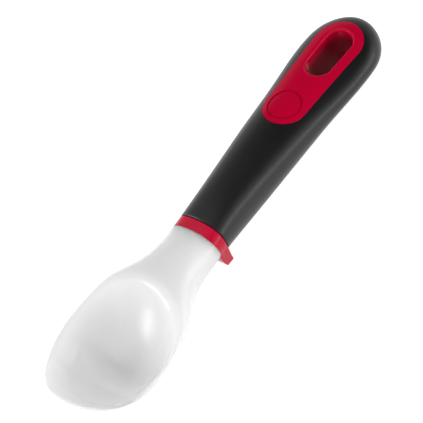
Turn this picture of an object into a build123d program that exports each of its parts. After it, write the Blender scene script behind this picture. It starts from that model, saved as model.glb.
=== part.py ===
from build123d import *
from math import atan2, cos, radians, sin, sqrt, tan
import os

# Ice cream scoop in five pieces: a white moulded head, a red collar with a rest tab, a rigid
# core, a black grip moulded round it, and a red plate whose sleeve lines the hanging eye.
#
# Sizes are in millimetres and drawn on the tool's own frame: along runs from the bowl (minus)
# to the hanging end (plus), across runs to the left, and up is square to the red plate.
# Its zero is the middle of the plate's ring groove, on the crown of the plate.

# ---- handle: half width, widest height, top and bottom at each place along it ----
handle_end = 52.4
end_round = 18.8
end_bluntness = 3.2
start_half_width = 11.7
start_top = -4.2
start_bottom = -23.3
grip_along = -36.0
grip_half_width = 12.4
grip_top = -1.2
grip_bottom = -22.6
waist_along = -12.0
waist_half_width = 14.0
waist_middle = -9.95
waist_bottom = -21.9
palm_along = 8.0
palm_half_width = 15.3
palm_middle = -8.65
palm_bottom = -19.3
heel_half_width = 16.9
heel_middle = -7.4
heel_bottom = -16.8
handle_form = (0.56, 0.70)
belly_form = (0.50, 0.52)

# ---- collar between the handle and the head ----
collar_rear = -60.0
collar_length = 5.6
collar_tilt = 5.0
collar_edge = 0.5
front_half_width = 11.9
front_top = -5.5
front_bottom = -22.9
seam_gap = 0.15
seam_edge = 0.4

# ---- rest tab under the collar; it runs a little past the table line and is cut flat there ----
tab_foot_along = -59.4
tab_foot_up = -29.2
tab_foot_thickness = 3.0
tab_foot_half_width = 10.7
tab_foot_rise = 2.6
tab_root_half_width = 11.5
tab_root_up = -16.0
tab_brow_up = -24.0
tab_brow_setback = 0.8
tab_drop = 0.4
tab_relief = 0.3
tab_corner = 3.0
tab_rounding = 0.6

# ---- head: half width, widest height, top and bottom at each place along it; a share is of the
# bowl's half width ----
neck_along = -76.0
neck_half_width = 12.1
neck_middle = -14.8
neck_top = -5.3
neck_bottom = -24.7
shoulder_along = -86.0
shoulder_half_width = 14.8
shoulder_middle = -14.3
shoulder_top = -5.0
shoulder_bottom = -25.8
throat_along = -98.0
throat_share = 0.823
throat_middle = -14.0
throat_top = -6.6
throat_bottom = -30.0
cheek_along = -110.0
cheek_share = 0.9615
cheek_middle = -15.4
cheek_top = -13.3
cheek_bottom = -33.4
bowl_along = -122.0
bowl_half_width = 26.0
bowl_rim_up = -17.2
bowl_bottom = -33.6
front_along = -136.0
front_share = 0.9192
front_rim_up = -19.4
front_bowl_bottom = -29.6
nose_along = -154.0
nose_up = -14.6
nose_point = 1.2
nose_fullness = 0.43
rim_rise = 0.9
rim_rounding = 0.8
neck_form = (0.61, 0.61)
brow_form = (0.68, 0.70)
cheek_form = (0.70, 0.80)
rim_form = (0.70, 0.85)
shoulder_hull = (0.56, 0.58)
throat_hull = (0.42, 0.56)
cheek_hull = (0.33, 0.55)
bowl_hull = (0.30, 0.55)

# ---- cavity of the bowl ----
bowl_wall = 1.6
cavity_tail = 26.0
cavity_tail_point = 1.6
cavity_lip_rise = 0.93
cavity_lip_sweep = 1.6
cavity_clear_height = 14.0
cavity_over = 0.4
clear_form = (0.90, 0.95)

# ---- tang of the head, and its socket in the core ----
tang_width = 13.0
tang_height = 8.0
tang_up = -12.6
tang_root = -72.0
tang_end = -24.0
tang_corner = 1.5
barb_reach = 1.0
barb_length = 5.0
barb_setback = 4.0
barb_width = 5.0
socket_clearance = 0.15

# ---- grip wall round the core, and the ribs that key it on ----
grip_wall = 2.6
key_depth = 0.8
key_length = 4.0
key_pitch = 12.0
key_count = 4
key_start = -54.0

# ---- red plate, its ring groove and the hanging eye ----
plate_thickness = 2.5
plate_proud = 0.3
land_height = 3.0
plate_near_radius = 9.5
plate_far_radius = 10.85
eye_near_along = 23.5
eye_far_along = 35.7
eye_near_radius = 5.9
eye_far_radius = 6.3
eye_lip = 1.2
eye_taper = 0.09
sleeve_wall = 1.8
ring_radius = 7.0
ring_width = 1.0
ring_depth = 0.45
peg_along = 7.0
peg_across = 5.0
peg_radius = 1.6
peg_length = 5.0
fit_clearance = 0.1
through = 60.0

heel_along = handle_end - end_round
collar_front = collar_rear - collar_length
throat_half_width = bowl_half_width * throat_share
cheek_half_width = bowl_half_width * cheek_share
front_rim_half_width = bowl_half_width * front_share
brow_slope = (shoulder_top - throat_top) / (shoulder_along - throat_along)
cavity_lip_along = bowl_along + cavity_tail
cavity_lip_up = throat_top + brow_slope * (cavity_lip_along - throat_along) + cavity_lip_rise


def end_fade(share):
    # how much of the heel's height is left along the rounded end, a blunt curve down to the tip
    return (1 - share**end_bluntness) ** (1 / end_bluntness)


def end_bottom(share):
    return heel_middle + (heel_bottom - heel_middle) * end_fade(share)


# The tool rests on its tab and on the underside of its rounded end, so the line from the tab's
# foot that just touches that end is the table line, and its slope turns the tool level.
rest_slope = min(
    (end_bottom(step / 100) - tab_foot_up) / (heel_along + end_round * step / 100 - tab_foot_along)
    for step in range(100)
)
rest_angle = atan2(rest_slope, 1)
along_dir = Vector(cos(rest_angle), 0, -sin(rest_angle))
up_dir = Vector(sin(rest_angle), 0, cos(rest_angle))
tool_rise = -(along_dir.Z * tab_foot_along + up_dir.Z * tab_foot_up)
tool = Plane(origin=(0, 0, tool_rise), x_dir=along_dir, z_dir=up_dir)
side = Plane(origin=tool.origin, x_dir=along_dir, z_dir=(0, -1, 0))


def point(along, up):
    return tool.from_local_coords(Vector(along, 0, up))


def across(along, up=0.0, tilt=0.0):
    # plane square to the tool: its x runs across and its y up, leaning towards the bowl
    lean = radians(tilt)
    return Plane(origin=point(along, up), x_dir=(0, 1, 0), z_dir=along_dir * cos(lean) + up_dir * sin(lean))


def level(up):
    # plane parallel to the red plate, at a height
    return Plane(origin=point(0, up), x_dir=along_dir, z_dir=up_dir)


collar_middle = (start_top + start_bottom) / 2
front_middle = (front_top + front_bottom) / 2
handle_face = across(collar_rear, collar_middle, collar_tilt)
neck_face = across(collar_front, collar_middle, collar_tilt)


def section(along, half_width, middle, top, bottom, upper, lower):
    # closed outline of four curves, widest at the middle height; upper and lower each give how
    # far the curve runs straight up its side and straight across its crown
    with BuildSketch(across(along)) as outline:
        with BuildLine():
            for height, (flank, crown) in ((top - middle, upper), (bottom - middle, lower)):
                for hand in (1, -1):
                    Bezier(
                        (hand * half_width, middle),
                        (hand * half_width, middle + flank * height),
                        (hand * crown * half_width, middle + height),
                        (0, middle + height),
                    )
        make_face()
    return outline.sketch.faces()[0]


def handle_sections(inset):
    # outlines from the collar to the hanging end, drawn in by the inset
    faces = []
    for along, half_width, middle, top, bottom, lower in (
        (neck_along, neck_half_width, (neck_top + neck_bottom) / 2, neck_top, neck_bottom, handle_form),
        (collar_front, front_half_width, front_middle, front_top, front_bottom, handle_form),
        (collar_rear, start_half_width, collar_middle, start_top, start_bottom, handle_form),
        (grip_along, grip_half_width, (grip_top + grip_bottom) / 2, grip_top, grip_bottom, handle_form),
        (waist_along, waist_half_width, waist_middle, 0, waist_bottom, belly_form),
        (palm_along, palm_half_width, palm_middle, 0, palm_bottom, belly_form),
        (heel_along, heel_half_width, heel_middle, 0, heel_bottom, belly_form),
    ):
        faces.append(section(
            along, half_width - inset, middle, top - inset, bottom + inset, handle_form, lower,
        ))
    for share in (0.35, 0.6, 0.82, 0.95):
        faces.append(section(
            heel_along + (end_round - inset) * share,
            (heel_half_width - inset) * sqrt(1 - share**2),
            heel_middle,
            heel_middle - (heel_middle + inset) * end_fade(share),
            heel_middle + (heel_bottom + inset - heel_middle) * end_fade(share),
            handle_form,
            belly_form,
        ))
    return [*faces, Vertex(*point(handle_end - inset, heel_middle))]


def head_sections():
    # outlines from the collar to the nose of the bowl
    faces = []
    for along, half_width, middle, top, bottom, upper, lower in (
        (collar_rear, start_half_width, collar_middle, start_top, start_bottom, neck_form, neck_form),
        (collar_front, front_half_width, front_middle, front_top, front_bottom, neck_form, neck_form),
        (neck_along, neck_half_width, neck_middle, neck_top, neck_bottom, neck_form, neck_form),
        (
            shoulder_along, shoulder_half_width, shoulder_middle, shoulder_top, shoulder_bottom,
            neck_form, shoulder_hull,
        ),
        (throat_along, throat_half_width, throat_middle, throat_top, throat_bottom, brow_form, throat_hull),
        (cheek_along, cheek_half_width, cheek_middle, cheek_top, cheek_bottom, cheek_form, cheek_hull),
        (
            bowl_along, bowl_half_width, bowl_rim_up, bowl_rim_up + rim_rise, bowl_bottom,
            rim_form, bowl_hull,
        ),
    ):
        faces.append(section(along, half_width, middle, top, bottom, upper, lower))
    for share in (0, 0.5, 0.8, 0.95):
        fade = sqrt(1 - share**2)
        rim_up = front_rim_up + (nose_up - front_rim_up) * share**2
        faces.append(section(
            front_along + (nose_along - front_along) * share,
            front_rim_half_width * (1 - share**nose_point) ** nose_fullness,
            rim_up,
            rim_up + rim_rise * fade,
            rim_up + (front_bowl_bottom - front_rim_up) * fade,
            rim_form,
            bowl_hull,
        ))
    return [*faces, Vertex(*point(nose_along, nose_up))]


def cavity_sections():
    # outlines of the hollow, from its lip at the neck to the nose; they are widest just above the
    # rim, so that only their lower half cuts the bowl
    lift = rim_rise + cavity_over
    depth = bowl_bottom + bowl_wall - bowl_rim_up - lift
    faces = [Vertex(*point(cavity_lip_along, cavity_lip_up))]
    for share in (0.95, 0.8, 0.55, 0.3, 0):
        fade = sqrt(1 - share**2)
        level_up = bowl_rim_up + lift + (cavity_lip_up - bowl_rim_up - lift) * share**cavity_lip_sweep
        faces.append(section(
            bowl_along + cavity_tail * share,
            (bowl_half_width - bowl_wall) * sqrt(1 - share**cavity_tail_point),
            level_up,
            level_up + cavity_clear_height * fade,
            level_up + depth * fade,
            clear_form,
            bowl_hull,
        ))
    front_depth = front_bowl_bottom + bowl_wall - front_rim_up - lift
    nose = nose_along + bowl_wall
    for share in (0, 0.5, 0.8, 0.95):
        fade = sqrt(1 - share**2)
        level_up = front_rim_up + lift + (nose_up - front_rim_up) * share**2
        faces.append(section(
            front_along + (nose - front_along) * share,
            (front_rim_half_width - bowl_wall) * (1 - share**nose_point) ** nose_fullness,
            level_up,
            level_up + cavity_clear_height * fade,
            level_up + front_depth * fade,
            clear_form,
            bowl_hull,
        ))
    return [*faces, Vertex(*point(nose, nose_up + lift))]


def eye_outline(up, grow):
    # the eye: two round ends joined by straight sides
    with BuildSketch(level(up)) as outline:
        with Locations((eye_near_along, 0)):
            Circle(eye_near_radius + grow)
        with Locations((eye_far_along, 0)):
            Circle(eye_far_radius + grow)
        make_hull()
    return outline.sketch


def plate_outline(up, grow):
    # the plate, round about its groove and round about the far end of the eye
    with BuildSketch(level(up)) as outline:
        Circle(plate_near_radius + grow)
        with Locations((eye_far_along, 0)):
            Circle(plate_far_radius + grow)
        make_hull()
    return outline.sketch


def peg_outline(up, grow):
    with BuildSketch(level(up)) as outline:
        with Locations((peg_along, peg_across), (peg_along, -peg_across)):
            Circle(peg_radius + grow)
    return outline.sketch


def handle_solid(inset):
    # the whole handle form, drawn in by the inset
    with BuildPart() as form:
        loft(sections=handle_sections(inset))
    return form.part


def tang_solid(grow):
    # bar with a barb on each side; grown by its clearance it is the shape of the socket
    half_width = tang_width / 2 + grow
    barb_back = tang_end - barb_setback - barb_length - grow
    barb_front = tang_end - barb_setback + grow
    with BuildPart() as tang:
        with BuildSketch(across(tang_root, tang_up)):
            RectangleRounded(tang_width + 2 * grow, tang_height + 2 * grow, tang_corner + grow)
        extrude(amount=tang_end + grow - tang_root)
        with BuildSketch(level(tang_up)):
            for hand in (1, -1):
                with BuildLine():
                    Polyline(
                        (barb_back, 0),
                        (barb_back, hand * (half_width + barb_reach)),
                        (barb_front, hand * half_width),
                        (barb_front, 0),
                        close=True,
                    )
                make_face()
        extrude(amount=barb_width / 2 + grow, both=True)
    return tang.part


handle_form_solid = handle_solid(0)
tang = tang_solid(0)
socket = tang_solid(socket_clearance)

# ---- head: bowl, neck and tang in one moulding ----
with BuildPart() as scoop_head:
    loft(sections=head_sections())
    split(bisect_by=neck_face, keep=Keep.BOTTOM)
    loft(sections=cavity_sections(), mode=Mode.SUBTRACT)
    edge_places = {edge: tool.to_local_coords(edge.center()).X for edge in scoop_head.edges()}
    rim_edges = [edge for edge, along in edge_places.items() if along < shoulder_along]
    fillet(rim_edges, rim_rounding)
    add(tang)

# ---- tab: a broad tongue with a curved foot, drawn from the side and then from the front ----
with BuildPart() as rest_tab:
    tab_tip_up = tab_foot_up - tab_drop
    heel_up = start_bottom - tab_relief
    face_slope = tan(radians(collar_tilt))
    root_lean = (collar_middle - tab_root_up) * face_slope
    heel_lean = (collar_middle - heel_up) * face_slope
    with BuildSketch(side):
        with BuildLine():
            rear = Polyline(
                (collar_front + root_lean + tab_relief, tab_root_up),
                (collar_rear + root_lean, tab_root_up),
                (collar_rear + heel_lean, heel_up),
                (tab_foot_along + tab_foot_thickness / 2, tab_tip_up),
                (tab_foot_along - tab_foot_thickness / 2, tab_tip_up),
            )
            Bezier(rear @ 1, (collar_front + tab_brow_setback, tab_brow_up), rear @ 0)
        make_face()
    extrude(amount=tab_root_half_width, both=True)
    with BuildSketch(across(neck_along)) as tongue:
        with BuildLine():
            foot_edge_up = tab_tip_up + tab_foot_rise
            sides = Polyline(
                (tab_foot_half_width, foot_edge_up),
                (tab_root_half_width, tab_root_up),
                (-tab_root_half_width, tab_root_up),
                (-tab_foot_half_width, foot_edge_up),
            )
            ThreePointArc(sides @ 1, (0, tab_tip_up), sides @ 0)
        make_face()
        fillet(tongue.vertices().group_by(Axis.Y)[0], tab_corner)
    extrude(amount=through, mode=Mode.INTERSECT)
    fillet(rest_tab.edges(), tab_rounding)

# ---- collar: a ring flush with the neck and the handle, with the tab moulded on ----
with BuildPart() as collar_rest:
    add(handle_form_solid)
    split(bisect_by=handle_face, keep=Keep.BOTTOM)
    split(bisect_by=neck_face, keep=Keep.TOP)
    chamfer(collar_rest.faces().filter_by(neck_face).edges(), collar_edge)
    add(rest_tab.part)
    split(bisect_by=Plane.XY, keep=Keep.TOP)
    add(socket, mode=Mode.SUBTRACT)

# ---- core: rigid inner of the handle, with key grooves, a land for the plate and the socket ----
with BuildPart() as key_grooves:
    for number in range(key_count):
        with BuildSketch(across(key_start + number * key_pitch)):
            Rectangle(through, through)
        extrude(amount=key_length)
    add(handle_solid(grip_wall + key_depth), mode=Mode.SUBTRACT)

with BuildPart() as core_form:
    add(handle_solid(grip_wall))
    split(bisect_by=handle_face.offset(seam_gap), keep=Keep.TOP)
    add(key_grooves.part, mode=Mode.SUBTRACT)

with BuildPart() as handle_core:
    add(core_form.part)
    extrude(plate_outline(-plate_thickness, -fit_clearance), amount=-land_height)
    add(socket, mode=Mode.SUBTRACT)
    extrude(
        peg_outline(-plate_thickness, fit_clearance),
        amount=-peg_length - fit_clearance,
        mode=Mode.SUBTRACT,
    )
    extrude(eye_outline(through, sleeve_wall + fit_clearance), amount=-2 * through, mode=Mode.SUBTRACT)

# ---- grip: shell over the core, open for the plate and the sleeve of the eye ----
with BuildPart() as handle_grip:
    add(handle_form_solid)
    split(bisect_by=handle_face.offset(seam_gap), keep=Keep.TOP)
    chamfer(handle_grip.faces().filter_by(handle_face).edges(), seam_edge)
    land_up = -plate_thickness - land_height
    extrude(plate_outline(land_up, fit_clearance), amount=through, mode=Mode.SUBTRACT)
    extrude(eye_outline(through, sleeve_wall + fit_clearance), amount=-2 * through, mode=Mode.SUBTRACT)
    add(core_form.part, mode=Mode.SUBTRACT)

# ---- plate: a little proud of the crown, with two pegs and the tapered sleeve of the eye ----
with BuildPart() as ring_groove:
    with BuildSketch(level(-plate_thickness)):
        Circle(ring_radius + ring_width / 2)
        Circle(ring_radius - ring_width / 2, mode=Mode.SUBTRACT)
    extrude(amount=2 * plate_thickness)
    add(handle_solid(ring_depth - plate_proud), mode=Mode.SUBTRACT)

with BuildPart() as eye_sleeve:
    extrude(eye_outline(-through, sleeve_wall), amount=through)
    add(handle_form_solid, mode=Mode.INTERSECT)

with BuildPart() as hang_insert:
    extrude(plate_outline(-plate_thickness, 0), amount=2 * plate_thickness)
    add(handle_solid(-plate_proud), mode=Mode.INTERSECT)
    add(ring_groove.part, mode=Mode.SUBTRACT)
    extrude(peg_outline(-plate_thickness, 0), amount=-peg_length)
    add(eye_sleeve.part)
    eye_ends = (plate_thickness, 2 * heel_bottom)
    loft(
        sections=[eye_outline(up, eye_taper * up).faces()[0] for up in eye_ends],
        ruled=True,
        mode=Mode.SUBTRACT,
    )
    eye_edges = hang_insert.edges(Select.LAST)
    up_axis = Axis(tool.origin, up_dir)
    fillet(eye_edges.filter_by_position(up_axis, -plate_thickness, plate_thickness), eye_lip)

pieces = {
    "scoop_head": scoop_head,
    "collar_rest": collar_rest,
    "handle_core": handle_core,
    "handle_grip": handle_grip,
    "hang_insert": hang_insert,
}

# The row's origin is on the table, under the middle of the scoop's length.
boxes = [piece.part.bounding_box() for piece in pieces.values()]
middle_x = (min(box.min.X for box in boxes) + max(box.max.X for box in boxes)) / 2

os.makedirs("parts", exist_ok=True)
for name, piece in pieces.items():
    piece.part.move(Location((-middle_x, 0, 0)))
    piece.part.label = name
    export_step(piece.part, f"parts/{name}.step")
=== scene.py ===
import bpy
import numpy as np
from mathutils import Matrix, Vector


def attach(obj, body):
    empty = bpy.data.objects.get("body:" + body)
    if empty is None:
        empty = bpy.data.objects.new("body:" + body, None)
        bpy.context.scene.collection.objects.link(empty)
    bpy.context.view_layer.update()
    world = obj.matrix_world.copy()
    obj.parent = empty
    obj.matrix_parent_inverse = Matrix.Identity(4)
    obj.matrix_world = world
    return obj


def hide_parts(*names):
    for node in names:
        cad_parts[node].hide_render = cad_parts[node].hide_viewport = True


# A white ice cream scoop with a black handle, a red collar with a rest tab, and a red end plate
# with a hanging eye. Metres, on the frame of the CAD model.

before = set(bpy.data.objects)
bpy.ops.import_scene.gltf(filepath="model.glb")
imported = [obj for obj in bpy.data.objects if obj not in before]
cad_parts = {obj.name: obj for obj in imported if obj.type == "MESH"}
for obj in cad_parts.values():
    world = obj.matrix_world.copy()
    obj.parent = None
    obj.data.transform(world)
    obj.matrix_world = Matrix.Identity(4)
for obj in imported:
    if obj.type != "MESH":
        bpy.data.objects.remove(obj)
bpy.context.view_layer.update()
print("frame loaded")

# the tool's own frame: along the handle, across it to the left, and square to the red plate
tool = {
    "origin": (0.051765, 0.0, 0.021648),
    "along": (0.992359, 0.0, -0.123383),
    "across": (0.0, 1.0, 0.0),
    "up": (0.123383, 0.0, 0.992359),
}
toolAxes = np.array([tool["along"], tool["across"], tool["up"]])
toolOrigin = np.array(tool["origin"])


def toRow(points):
    # tool coordinates in millimetres to the row frame in metres
    return toolOrigin + np.asarray(points, float) / 1000 @ toolAxes


def addSocket(tree, name, direction, kind, value=None):
    socket = tree.interface.new_socket(name=name, in_out=direction, socket_type=kind)
    if value is not None:
        socket.default_value = value


grainNoise = {"grainDetail": 2.0, "driftDetail": 3.0, "middle": 0.5}


def buildMouldedGrain():
    # fine grain and a slow unevenness, as moulded plastic has: a normal, a roughness and a tone
    tree = bpy.data.node_groups.new("mouldedGrain", "ShaderNodeTree")
    for name, value in (
        ("Grain Scale", 2500.0), ("Grain Height", 0.2), ("Grain Depth", 0.00002),
        ("Drift Scale", 60.0), ("Roughness", 0.3), ("Roughness Spread", 0.05), ("Tone Spread", 0.04),
    ):
        addSocket(tree, name, "INPUT", "NodeSocketFloat", value)
    addSocket(tree, "Normal", "OUTPUT", "NodeSocketVector")
    addSocket(tree, "Roughness", "OUTPUT", "NodeSocketFloat")
    addSocket(tree, "Tone", "OUTPUT", "NodeSocketFloat")
    nodes, links = tree.nodes, tree.links
    inputs = nodes.new("NodeGroupInput")
    outputs = nodes.new("NodeGroupOutput")
    place = nodes.new("ShaderNodeTexCoord")
    grain = nodes.new("ShaderNodeTexNoise")
    grain.inputs["Detail"].default_value = grainNoise["grainDetail"]
    drift = nodes.new("ShaderNodeTexNoise")
    drift.inputs["Detail"].default_value = grainNoise["driftDetail"]
    for noise, scale in ((grain, "Grain Scale"), (drift, "Drift Scale")):
        links.new(place.outputs["Object"], noise.inputs["Vector"])
        links.new(inputs.outputs[scale], noise.inputs["Scale"])
    bump = nodes.new("ShaderNodeBump")
    links.new(inputs.outputs["Grain Height"], bump.inputs["Strength"])
    links.new(inputs.outputs["Grain Depth"], bump.inputs["Distance"])
    links.new(grain.outputs["Fac"], bump.inputs["Height"])
    links.new(bump.outputs["Normal"], outputs.inputs["Normal"])
    centred = nodes.new("ShaderNodeMath")
    centred.operation = "SUBTRACT"
    centred.inputs[1].default_value = grainNoise["middle"]
    links.new(drift.outputs["Fac"], centred.inputs[0])
    rough = nodes.new("ShaderNodeMath")
    rough.operation = "MULTIPLY_ADD"
    links.new(centred.outputs[0], rough.inputs[0])
    links.new(inputs.outputs["Roughness Spread"], rough.inputs[1])
    links.new(inputs.outputs["Roughness"], rough.inputs[2])
    links.new(rough.outputs[0], outputs.inputs["Roughness"])
    tone = nodes.new("ShaderNodeMath")
    tone.operation = "MULTIPLY_ADD"
    links.new(centred.outputs[0], tone.inputs[0])
    links.new(inputs.outputs["Tone Spread"], tone.inputs[1])
    tone.inputs[2].default_value = 1.0
    links.new(tone.outputs[0], outputs.inputs["Tone"])
    return tree


mouldedGrain = buildMouldedGrain()


def eyeShadeAndMattFade(tree, wall, value, operation, atCrown, atDepth):
    # changes a value down the wall of the eye, from the first depth below the crown to the second; on the
    # colour it is painted shade, darker down the hole where its shadow falls, and on the roughness it
    # makes the wall matt
    nodes, links = tree.nodes, tree.links
    place = nodes.new("ShaderNodeTexCoord")
    height = nodes.new("ShaderNodeVectorMath")
    height.operation = "DOT_PRODUCT"
    height.inputs[1].default_value = tool["up"]
    links.new(place.outputs["Object"], height.inputs[0])
    fade = nodes.new("ShaderNodeMapRange")
    fade.interpolation_type = "SMOOTHSTEP"
    crown = float(toolOrigin @ toolAxes[2])
    fade.inputs["From Min"].default_value = crown - wall["depths"][0] / 1000
    fade.inputs["From Max"].default_value = crown - wall["depths"][1] / 1000
    fade.inputs["To Min"].default_value = atCrown
    fade.inputs["To Max"].default_value = atDepth
    links.new(height.outputs["Value"], fade.inputs["Value"])
    changed = nodes.new("ShaderNodeMath")
    changed.operation = operation
    links.new(value, changed.inputs[0])
    links.new(fade.outputs["Result"], changed.inputs[1])
    return changed.outputs[0]


def mouldedPlastic(name, look):
    # a plastic whose colour, gloss and grain come from its dictionary
    material = bpy.data.materials.new(name)
    material.use_nodes = True
    nodes, links = material.node_tree.nodes, material.node_tree.links
    shader = nodes["Principled BSDF"]
    for socket, value in look["shader"].items():
        shader.inputs[socket].default_value = value
    grain = nodes.new("ShaderNodeGroup")
    grain.node_tree = mouldedGrain
    for socket, value in look["grain"].items():
        grain.inputs[socket].default_value = value
    colour = nodes.new("ShaderNodeVectorMath")
    colour.operation = "SCALE"
    colour.inputs[0].default_value = look["colour"]
    tone, roughness = grain.outputs["Tone"], grain.outputs["Roughness"]
    if "eyeShadeAndMatt" in look:
        tree, wall = material.node_tree, look["eyeShadeAndMatt"]
        # painted shade: the colour darkens down the eye's wall, standing in for the shadow in the hole
        tone = eyeShadeAndMattFade(tree, wall, tone, "MULTIPLY", 1, wall["tone"])
        roughness = eyeShadeAndMattFade(tree, wall, roughness, "ADD", 0, wall["matt"])
    links.new(tone, colour.inputs["Scale"])
    links.new(colour.outputs[0], shader.inputs["Base Color"])
    links.new(roughness, shader.inputs["Roughness"])
    links.new(grain.outputs["Normal"], shader.inputs["Normal"])
    return material


whiteLook = {
    "colour": (0.83, 0.83, 0.83),
    "shader": {"IOR": 1.49, "Subsurface Weight": 1.0, "Subsurface Radius": (1.0, 1.0, 1.0),
               "Subsurface Scale": 0.01},
    "grain": {"Grain Scale": 900.0, "Grain Height": 0.05, "Roughness": 0.24, "Roughness Spread": 0.08,
              "Tone Spread": 0.02},
}
redLook = {
    "colour": (0.53, 0.001, 0.031),
    "shader": {"IOR": 1.45, "Specular IOR Level": 0.25},
    "grain": {"Grain Scale": 900.0, "Grain Height": 0.05, "Roughness": 0.18, "Roughness Spread": 0.06,
              "Tone Spread": 0.04},
}
# the plate reflects less than the collar, and its wall in the eye turns matt and is darkened with painted
# shade for the shadow deep in the hole; the depths below the crown are in millimetres
plateLook = dict(
    redLook,
    shader={"IOR": 1.45, "Specular IOR Level": 0.12},
    # painted shade: at depth the eye's wall keeps 0.42 of its colour; matt is real added roughness
    eyeShadeAndMatt={"depths": (1.2, 6.0), "tone": 0.42, "matt": 0.35},
)
blackLook = {
    "colour": (0.0045, 0.0048, 0.005),
    "shader": {"IOR": 1.5, "Specular IOR Level": 0.42},
    "grain": {"Grain Scale": 3500.0, "Grain Height": 0.5, "Roughness": 0.35, "Roughness Spread": 0.08,
              "Tone Spread": 0.2},
}
coreLook = {
    "colour": (0.08, 0.08, 0.085),
    "shader": {"IOR": 1.5},
    "grain": {"Grain Scale": 1500.0, "Grain Height": 0.2, "Roughness": 0.5, "Roughness Spread": 0.1,
              "Tone Spread": 0.1},
}
whitePlastic = mouldedPlastic("whitePlastic", whiteLook)
redPlastic = mouldedPlastic("redPlastic", redLook)
platePlastic = mouldedPlastic("platePlastic", plateLook)
blackGrip = mouldedPlastic("blackGrip", blackLook)
corePlastic = mouldedPlastic("corePlastic", coreLook)
finishes = {
    "scoop_head": whitePlastic,
    "collar_rest": redPlastic,
    "handle_core": corePlastic,
    "handle_grip": blackGrip,
    "hang_insert": platePlastic,
}
for node, finish in finishes.items():
    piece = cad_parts[node]
    piece.data.materials.clear()
    piece.data.materials.append(finish)
print("materials made")

# the scoop head is the bowl and the neck in one closed surface
headForm = {
    # outlines in millimetres: along, half width, widest height, top, bottom, then how far the
    # upper and the lower curve run straight up their side and straight across their crown
    "outlines": (
        (-60.0, 11.70, -13.75, -4.2, -23.3, 0.61, 0.61, 0.61, 0.61),
        (-65.6, 11.90, -14.20, -5.5, -22.9, 0.61, 0.61, 0.61, 0.61),
        (-76.0, 12.10, -14.80, -5.3, -24.7, 0.61, 0.61, 0.61, 0.61),
        (-86.0, 14.80, -14.30, -5.15, -25.8, 0.61, 0.61, 0.56, 0.58),
        (-98.0, 21.40, -14.00, -6.6, -30.0, 0.68, 0.70, 0.42, 0.56),
        (-110.0, 25.00, -15.40, -13.3, -33.4, 0.70, 0.80, 0.33, 0.55),
        (-122.0, 26.00, -17.20, -16.3, -33.6, 0.70, 0.85, 0.30, 0.55),
    ),
    "frontForms": (0.70, 0.85, 0.30, 0.55),
    "frontAlong": -136.0,
    "frontHalfWidth": 23.9,
    "frontUp": -19.4,
    "frontBottom": -29.6,
    "rimRise": 0.9,
    "noseAlong": -154.0,
    "noseUp": -14.6,
    "nosePoint": 1.2,
    "noseFullness": 0.43,
    "noseShares": (0.0, 0.5, 0.8, 0.95, 1.0),
    "knotWeights": (1.0, 0.7, 0.5, 0.5, 0.5),
    "collarFace": -65.6,
    "collarTilt": 5.0,
    "collarMiddle": -13.75,
    "tiltFade": 8.0,
    "seat": 0.5,
    "rings": 240,
    "topSteps": 140,
    "bottomSteps": 90,
}
bowlHollow = {
    "wall": 1.6,
    "middleAlong": -122.0,
    "middleHalfWidth": 26.0,
    "middleLevel": -15.9,
    "middleFloor": -32.0,
    "frontLevel": -18.1,
    "frontFloor": -27.2,
    "noseLevel": -13.3,
    "tail": 27.0,
    "tailPoint": 1.35,
    "sidePower": 2.0,
    "lipUp": -5.4,
    "fullness": 0.8,
    "softStart": 0.35,
    "shareLimit": 1.15,
    "outsideLimit": -0.6,
    "carveMargin": 3.0,
    "creaseBlend": 1.6,
    "rimBlend": 5.0,
    "creaseHalfWidth": 9.0,
    "creaseFade": 6.0,
    "creaseEnd": -104.0,
    "creaseEndFade": 10.0,
    # the shallow flare round the hollow
    "flareTail": 29.8,
    "flareTailPoint": 2.0,
    "flareInset": 0.6,
    "flarePower": 3.0,
    "flareDepth": 14.0,
    "flareLimit": 5.0,
}


def easeInOut(share):
    # from 0 to 1 with a level start and end: the share squared times (3 - 2 shares)
    share = np.clip(share, 0, 1)
    return share * share * (3 - 2 * share)


def mix(first, second, share):
    # a share of the way from the first value to the second
    return first + (second - first) * share


def softShare(share):
    # a share from 0 to a little past 1 that starts gently: its square times (1 + softStart), over
    # (itself + softStart)
    share = np.clip(share, 0, bowlHollow["shareLimit"])
    return share**2 * (1 + bowlHollow["softStart"]) / (share + bowlHollow["softStart"])


def frontShare(along):
    # 0 behind the bowl's widest place, 1 from the front on
    start = bowlHollow["middleAlong"]
    return easeInOut((start - along) / (start - headForm["frontAlong"]))


def splineThrough(knots, rows, places):
    # a natural cubic spline: the bends at the knots come from one set of equations, and each
    # place is worked out from the two knots beside it
    gaps = np.diff(knots)
    system = np.eye(len(knots))
    turns = np.zeros_like(rows)
    for i in range(1, len(knots) - 1):
        system[i, i - 1:i + 2] = gaps[i - 1], 2 * (gaps[i - 1] + gaps[i]), gaps[i]
        turns[i] = 6 * ((rows[i + 1] - rows[i]) / gaps[i] - (rows[i] - rows[i - 1]) / gaps[i - 1])
    bends = np.linalg.solve(system, turns)
    left = np.clip(np.searchsorted(knots, places, side="right") - 1, 0, len(gaps) - 1)
    gap = gaps[left][:, None]
    after = (places - knots[left])[:, None]
    before = gap - after
    curved = (bends[left] * before**3 + bends[left + 1] * after**3) / (6 * gap)
    straight = (rows[left] / gap - bends[left] * gap / 6) * before
    return curved + straight + (rows[left + 1] / gap - bends[left + 1] * gap / 6) * after


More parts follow.
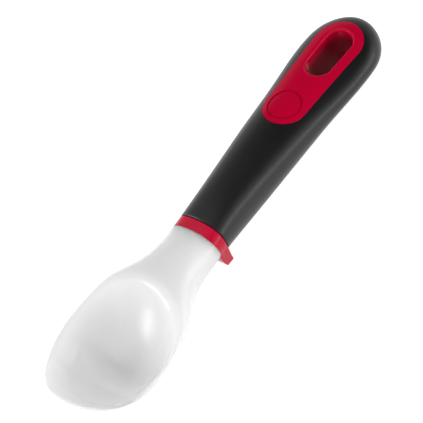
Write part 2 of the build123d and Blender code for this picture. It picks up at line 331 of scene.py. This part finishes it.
def headRings():
    # the outline's measures at every ring, from the collar to the nose; towards the nose the half
    # width is the front's times (1 - share to the nosePoint) to the noseFullness, and the heights
    # fade with the square root of (1 - share squared)
    form = headForm
    rows = list(form["outlines"])
    for share in form["noseShares"]:
        fade = np.sqrt(1 - share**2)
        up = mix(form["frontUp"], form["noseUp"], share**2)
        rows.append((
            mix(form["frontAlong"], form["noseAlong"], share),
            form["frontHalfWidth"] * (1 - share ** form["nosePoint"]) ** form["noseFullness"],
            up,
            up + form["rimRise"] * fade,
            up + (form["frontBottom"] - form["frontUp"]) * fade,
            *form["frontForms"],
        ))
    rows = np.array(rows)
    steps = np.linalg.norm(np.diff(rows[:, :5], axis=0) * form["knotWeights"], axis=1)
    knots = np.concatenate([[0], np.cumsum(steps)])
    start = np.interp(-form["collarFace"] - form["seat"], -rows[:2, 0], knots[:2])
    return splineThrough(knots, rows, np.linspace(start, knots[-1], form["rings"]))


def quarterOutline(share, flank, crown):
    # a cubic curve from the side (share 0) to the crown (share 1): how far out, and how far up
    rest = 1 - share
    out = rest**3 + 3 * rest**2 * share + 3 * crown * rest * share**2
    rise = 3 * flank * rest**2 * share + 3 * rest * share**2 + share**3
    return out, rise


def hollowHeight(along, across):
    # height of the hollow's floor: with inside = 1 - soft share of the tail to the tailPoint - soft
    # share of the nose to the nosePoint - share of the width to a power, the floor lies below the
    # level by depth * (1 + fullness) * inside / (1 + fullness * inside), and the level itself rises
    # to the lip at the tail and to the nose
    hollow, form = bowlHollow, headForm
    tail = softShare((along - hollow["middleAlong"]) / hollow["tail"]) ** hollow["tailPoint"]
    noseLength = form["frontAlong"] - form["noseAlong"] - hollow["wall"]
    nose = softShare((form["frontAlong"] - along) / noseLength)
    front = frontShare(along)
    halfWidth = mix(hollow["middleHalfWidth"], form["frontHalfWidth"], front) - hollow["wall"]
    power = mix(hollow["sidePower"], 1 / form["noseFullness"], front)
    inside = 1 - tail - nose ** form["nosePoint"] - (np.abs(across) / halfWidth) ** power
    inside = np.maximum(inside, hollow["outsideLimit"])
    level = mix(hollow["middleLevel"], hollow["frontLevel"], front)
    depth = level - mix(hollow["middleFloor"], hollow["frontFloor"], front)
    level = level + (hollow["lipUp"] - hollow["middleLevel"]) * tail
    level = level + (hollow["noseLevel"] - hollow["frontLevel"]) * nose**2
    return level - depth * (1 + hollow["fullness"]) * inside / (1 + hollow["fullness"] * inside)


def flareDepth(along, across):
    # how far the crown is lowered round the hollow: the flareDepth times (1 - share of the flare's
    # tail to a power - share of the nose to the nosePoint - share of its width to a power) squared,
    # up to the flareLimit, which lies inside the hollow
    hollow, form = bowlHollow, headForm
    tail = np.clip((along - hollow["middleAlong"]) / hollow["flareTail"], 0, 1) ** hollow["flareTailPoint"]
    nose = np.clip((form["frontAlong"] - along) / (form["frontAlong"] - form["noseAlong"]), 0, 1)
    front = frontShare(along)
    halfWidth = mix(hollow["middleHalfWidth"], form["frontHalfWidth"], front) - hollow["flareInset"]
    power = mix(hollow["flarePower"], 1 / form["noseFullness"], front)
    inside = np.maximum(1 - tail - nose ** form["nosePoint"] - (np.abs(across) / halfWidth) ** power, 0)
    return np.minimum(hollow["flareDepth"] * inside**2, hollow["flareLimit"])


def softLower(first, second, blend):
    # the lower of two heights, rounded over the blend where they cross
    share = np.clip(0.5 + (second - first) / (2 * blend), 0, 1)
    return second * (1 - share) + first * share - blend * share * (1 - share)


def headGrid():
    # rings of points in millimetres, each over the top from right to left and back under the hull
    form, hollow = headForm, bowlHollow
    along, halfWidth, middle, top, bottom, *curves = (column[:, None] for column in headRings().T)
    halfWidth = np.maximum(halfWidth, 0)
    topShare = np.linspace(-1, 1, form["topSteps"] + 1)[None, :]
    out, rise = quarterOutline(1 - np.abs(topShare), *curves[:2])
    across = np.sign(topShare) * out * halfWidth
    height = middle + rise * (top - middle) - flareDepth(along, across)
    # the crease at the back of the hollow is tight in the middle and fades out at its sides
    spread = easeInOut((np.abs(across) - hollow["creaseHalfWidth"]) / hollow["creaseFade"])
    spread = np.maximum(spread, easeInOut((hollow["creaseEnd"] - along) / hollow["creaseEndFade"]))
    blend = hollow["creaseBlend"] + (hollow["rimBlend"] - hollow["creaseBlend"]) * spread
    carved = softLower(height, hollowHeight(along, across), blend)
    carveEnd = hollow["middleAlong"] + hollow["tail"] + hollow["carveMargin"]
    height = np.where(along < carveEnd, carved, height)
    lowShare = np.linspace(1, -1, form["bottomSteps"] + 1)[None, 1:-1]
    out, drop = quarterOutline(1 - np.abs(lowShare), *curves[2:])
    across = np.concatenate([across, np.sign(lowShare) * out * halfWidth], axis=1)
    height = np.concatenate([height, middle + drop * (bottom - middle)], axis=1)
    lean = np.clip(1 - (form["collarFace"] - along) / form["tiltFade"], 0, 1)
    slope = np.tan(np.radians(form["collarTilt"]))
    along = along + lean * slope * (form["collarMiddle"] - height)
    return np.stack([along, across, height], axis=-1)


def gridFaces(rings, around):
    # quads between neighbouring rings, outward for rings that run from right over the top to left
    # and away from the handle
    first = np.arange(rings - 1)[:, None] * around
    step = np.arange(around)[None, :]
    after = (step + 1) % around
    corners = [first + step, first + after, first + around + after, first + around + step]
    return np.stack(corners, axis=-1).reshape(-1, 4)


def smoothMesh(name, points, faces):
    mesh = bpy.data.meshes.new(name)
    mesh.from_pydata(toRow(points).tolist(), [], faces)
    mesh.polygons.foreach_set("use_smooth", np.ones(len(mesh.polygons), bool))
    mesh.update()
    return mesh


def buildHead():
    # closed by a fan round a middle point at the collar, and round one point at the nose
    grid = headGrid()[:-1]
    rings, around = grid.shape[:2]
    nose = (headForm["noseAlong"], 0.0, headForm["noseUp"])
    points = np.concatenate([grid.reshape(-1, 3), [grid[0].mean(axis=0)], [nose]])
    faces = gridFaces(rings, around).tolist()
    middle, tip = len(points) - 2, len(points) - 1
    last = (rings - 1) * around
    for step in range(around):
        after = (step + 1) % around
        faces.append((middle, after, step))
        faces.append((tip, last + step, last + after))
    piece = bpy.data.objects.new("scoopHead", smoothMesh("scoopHead", points, faces))
    bpy.context.scene.collection.objects.link(piece)
    piece.data.materials.append(whitePlastic)
    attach(piece, "root")
    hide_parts("scoop_head")


buildHead()
print("scoop head made")

floorLook = {"size": 6.0, "colour": (0.75, 0.75, 0.75, 1.0), "whiteness": 0.8}


def buildFloor():
    half = floorLook["size"] / 2
    mesh = bpy.data.meshes.new("floor")
    corners = [(-half, -half, 0), (half, -half, 0), (half, half, 0), (-half, half, 0)]
    mesh.from_pydata(corners, [], [(0, 1, 2, 3)])
    floor = bpy.data.objects.new("floor", mesh)
    bpy.context.scene.collection.objects.link(floor)
    material = bpy.data.materials.new("floorPaper")
    material.use_nodes = True
    nodes, links = material.node_tree.nodes, material.node_tree.links
    shader = nodes["Principled BSDF"]
    shader.inputs["Base Color"].default_value = floorLook["colour"]
    shader.inputs["Roughness"].default_value = 1.0
    shader.inputs["Specular IOR Level"].default_value = 0.0
    shader.inputs["Emission Color"].default_value = (1, 1, 1, 1)
    # the camera, gloss and glass see a white floor; for all other rays it only reflects
    path = nodes.new("ShaderNodeLightPath")
    seen = path.outputs["Is Camera Ray"]
    for ray in ("Is Glossy Ray", "Is Transmission Ray"):
        either = nodes.new("ShaderNodeMath")
        either.operation = "MAXIMUM"
        links.new(seen, either.inputs[0])
        links.new(path.outputs[ray], either.inputs[1])
        seen = either.outputs[0]
    strength = nodes.new("ShaderNodeMath")
    strength.operation = "MULTIPLY"
    strength.inputs[1].default_value = floorLook["whiteness"]
    links.new(seen, strength.inputs[0])
    links.new(strength.outputs[0], shader.inputs["Emission Strength"])
    mesh.materials.append(material)


buildFloor()

camera = {
    # right and up are directions on the tool's own frame, lookAt is in millimetres as the camera
    # sees it from the tool's origin, and distance and frameWidth are in metres
    "right": (0.59249, -0.76662, -0.24749),
    "up": (0.70979, 0.35149, 0.61045),
    "lookAt": (-29.236, -42.736, 10.0),
    "distance": 7.5,
    "frameWidth": 0.1692,
    "sensorMillimetres": 36.0,
    "clipShare": 2.0,
}
rightward = np.array(camera["right"]) @ toolAxes
toward = np.cross(rightward, np.array(camera["up"]) @ toolAxes)
cameraAxes = np.array([rightward, np.cross(toward, rightward), toward])
cameraAxes /= np.linalg.norm(cameraAxes, axis=1, keepdims=True)  # exactly square, for the long lens


def cameraSpace(right, up, toward):
    # a direction given as the camera sees it, in the row frame
    return Vector(np.array([right, up, toward]) @ cameraAxes)


aim = Vector(toolOrigin) + cameraSpace(*camera["lookAt"]) / 1000


def addCamera():
    lens = bpy.data.cameras.new("camera")
    lens.sensor_width = camera["sensorMillimetres"]
    lens.lens = camera["sensorMillimetres"] * camera["distance"] / camera["frameWidth"]
    lens.clip_end = camera["clipShare"] * camera["distance"]
    holder = bpy.data.objects.new("camera", lens)
    bpy.context.scene.collection.objects.link(holder)
    axes = [cameraSpace(1, 0, 0), cameraSpace(0, 1, 0), cameraSpace(0, 0, 1)]
    turn = Matrix(axes).transposed().to_4x4()
    holder.matrix_world = Matrix.Translation(aim + axes[2] * camera["distance"]) @ turn
    bpy.context.scene.camera = holder


addCamera()

lamps = {
    # the direction each lies in from the scoop, in the row frame; its distance, size and power
    "noseSoftbox": {"from": (-0.736, 0.627, 0.254), "distance": 1.2, "size": (0.40, 0.42), "power": 2.9},
    "sideStrip": {"from": (0.20, -0.97, 0.10), "distance": 0.6, "size": (1.0, 0.10), "power": 1.3},
    "endSoftbox": {"from": (0.75, -0.60, 0.30), "distance": 1.0, "size": (0.6, 0.5), "power": 1.0},
    "topSoftbox": {"from": (-0.35, 0.05, 0.93), "distance": 1.1, "size": (0.9, 0.9), "power": 1.5},
}


def addLamp(name, look):
    light = bpy.data.lights.new(name, "AREA")
    light.shape = "RECTANGLE"
    light.size, light.size_y = look["size"]
    light.energy = look["power"]
    holder = bpy.data.objects.new(name, light)
    bpy.context.scene.collection.objects.link(holder)
    direction = Vector(look["from"]).normalized()
    turn = direction.to_track_quat("Z", "Y").to_matrix().to_4x4()
    holder.matrix_world = Matrix.Translation(aim + direction * look["distance"]) @ turn


for name, look in lamps.items():
    addLamp(name, look)

studio = {
    "bright": 0.84,
    "dark": 0.02,
    # the dark flag over the hanging end: the directions in the row frame that it is measured
    # along, and where its soft edges start and end on them
    "flagAcross": (1.0, -0.15, 0.0),
    "flagNearEdge": (0.20, 0.31),
    "flagUpward": (0.0, 0.1, 1.0),
    "flagLowEdge": (0.42, 0.62),
}


def flagEdge(tree, direction, ends):
    # 0 to 1 across one soft edge of the flag, measured along a direction
    place = tree.nodes.new("ShaderNodeTexCoord")
    facing = tree.nodes.new("ShaderNodeVectorMath")
    facing.operation = "DOT_PRODUCT"
    facing.inputs[1].default_value = direction
    tree.links.new(place.outputs["Generated"], facing.inputs[0])
    ramp = tree.nodes.new("ShaderNodeMapRange")
    ramp.interpolation_type = "SMOOTHSTEP"
    ramp.inputs["From Min"].default_value, ramp.inputs["From Max"].default_value = ends
    tree.links.new(facing.outputs["Value"], ramp.inputs["Value"])
    return ramp.outputs["Result"]


def buildWorld():
    # even light from all round, with a dark flag overhead
    world = bpy.data.worlds.new("studio")
    world.use_nodes = True
    nodes, links = world.node_tree.nodes, world.node_tree.links
    flag = nodes.new("ShaderNodeMath")
    flag.operation = "MULTIPLY"
    near = flagEdge(world.node_tree, studio["flagAcross"], studio["flagNearEdge"])
    low = flagEdge(world.node_tree, studio["flagUpward"], studio["flagLowEdge"])
    links.new(near, flag.inputs[0])
    links.new(low, flag.inputs[1])
    level = nodes.new("ShaderNodeMapRange")
    level.inputs["To Min"].default_value = studio["bright"]
    level.inputs["To Max"].default_value = studio["dark"]
    links.new(flag.outputs[0], level.inputs["Value"])
    # the camera sees white all round
    path = nodes.new("ShaderNodeLightPath")
    seen = nodes.new("ShaderNodeMath")
    seen.operation = "MAXIMUM"
    links.new(level.outputs["Result"], seen.inputs[0])
    links.new(path.outputs["Is Camera Ray"], seen.inputs[1])
    background = nodes["Background"]
    background.inputs["Color"].default_value = (1, 1, 1, 1)
    links.new(seen.outputs[0], background.inputs["Strength"])
    bpy.context.scene.world = world


buildWorld()
bpy.context.scene.view_settings.view_transform = "Standard"
print("floor, light and camera placed")
